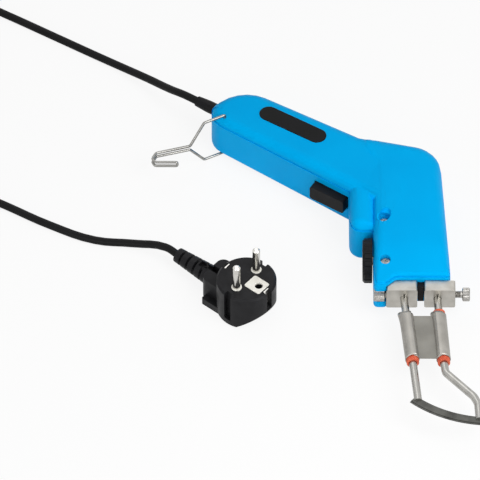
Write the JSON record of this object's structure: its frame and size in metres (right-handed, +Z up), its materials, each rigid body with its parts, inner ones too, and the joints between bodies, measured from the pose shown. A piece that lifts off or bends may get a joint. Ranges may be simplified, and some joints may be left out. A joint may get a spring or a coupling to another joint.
{
  "type": "electric hot knife",
  "caption": "Corded hot knife with a pistol shaped moulded housing, push trigger, heat dial, hanging hook and a cutting strip on clamped legs under the nose",
  "frame": {"origin": "middle of the flat side of the head that the tool lies on", "axes": "-Y along the blade, +Z up through the cover, +X to the front of the head"},
  "size_m": [0.3952, 0.3838, 0.046],
  "materials": {
    "blue_shell": "satin moulded",
    "black_plastic": "satin moulded",
    "bright_steel": "bright",
    "nickel": "plated",
    "dark_steel": "heat tinted",
    "red_sleeve": "matte",
    "copper": "satin",
    "ivory_plastic": "satin",
    "regulator_blue": "satin",
    "board_green": "satin",
    "cord_rubber": "matte"
  },
  "bodies": {
    "body": {"housing_base": "blue_shell", "housing_cover": "blue_shell", "cover_screws": "bright_steel", "badge_plate": "black_plastic", "trigger_switch": "black_plastic", "regulator": "regulator_blue", "control_board": "board_green", "transformer_core": "dark_steel", "bobbin": "ivory_plastic", "primary_winding": "copper", "secondary_strap": "copper", "terminal_block_rear": "nickel", "terminal_block_front": "nickel", "block_separator": "black_plastic", "cord_gland": "black_plastic", "inner_lead": "cord_rubber", "cord_clamp": "ivory_plastic", "clamp_fasteners": "bright_steel", "plug_body": "black_plastic", "plug_pins": "nickel", "plug_collars": "ivory_plastic", "plug_insert": "ivory_plastic", "earth_clips": "nickel", "cord_lead": "cord_rubber", "cord_coil": "cord_rubber", "coil_tie": "black_plastic", "cord_tail": "cord_rubber"},
    "trigger": {"trigger": "black_plastic"},
    "dial": {"dial_knob": "black_plastic", "dial_shaft": "bright_steel"},
    "hook": {"hanging_hook": "bright_steel"},
    "blade_set": {"blade_leg_rear": "bright_steel", "blade_leg_front": "bright_steel", "blade_strip": "dark_steel", "blade_bracket": "nickel", "leg_sleeve_rear": "red_sleeve", "leg_sleeve_front": "red_sleeve"},
    "rear_screw": {"clamp_screw_rear": "bright_steel"},
    "front_screw": {"clamp_screw_front": "bright_steel"}
  },
  "joints": [
    {"name": "trigger_press", "type": "slide", "parent": "body", "child": "trigger", "axis": [0.5446, 0.8387, 0], "range_m": [0, 0.004], "stiffness_N_per_m": 400, "springref_m": -0.004},
    {"name": "dial_turn", "type": "hinge", "parent": "body", "child": "dial", "pos_m": [-0.024, -0.034, 0.019], "axis": [1, 0, 0], "range_deg": [-135, 135]},
    {"name": "hook_swing", "type": "hinge", "parent": "body", "child": "hook", "pos_m": [-0.11655, 0.0739, 0.019], "axis": [0, 0, 1], "range_deg": [-45, 80]},
    {"name": "blade_withdraw", "type": "slide", "parent": "body", "child": "blade_set", "axis": [0, -1, 0], "range_m": [0, 0.022]},
    {"name": "rear_screw_turn", "type": "hinge", "parent": "body", "child": "rear_screw", "pos_m": [-0.02, -0.0622, 0.019], "axis": [-1, 0, 0], "range_deg": [0, 1080]},
    {"name": "front_screw_turn", "type": "hinge", "parent": "body", "child": "front_screw", "pos_m": [0.03, -0.0622, 0.019], "axis": [1, 0, 0], "range_deg": [0, 1080]}
  ]
}
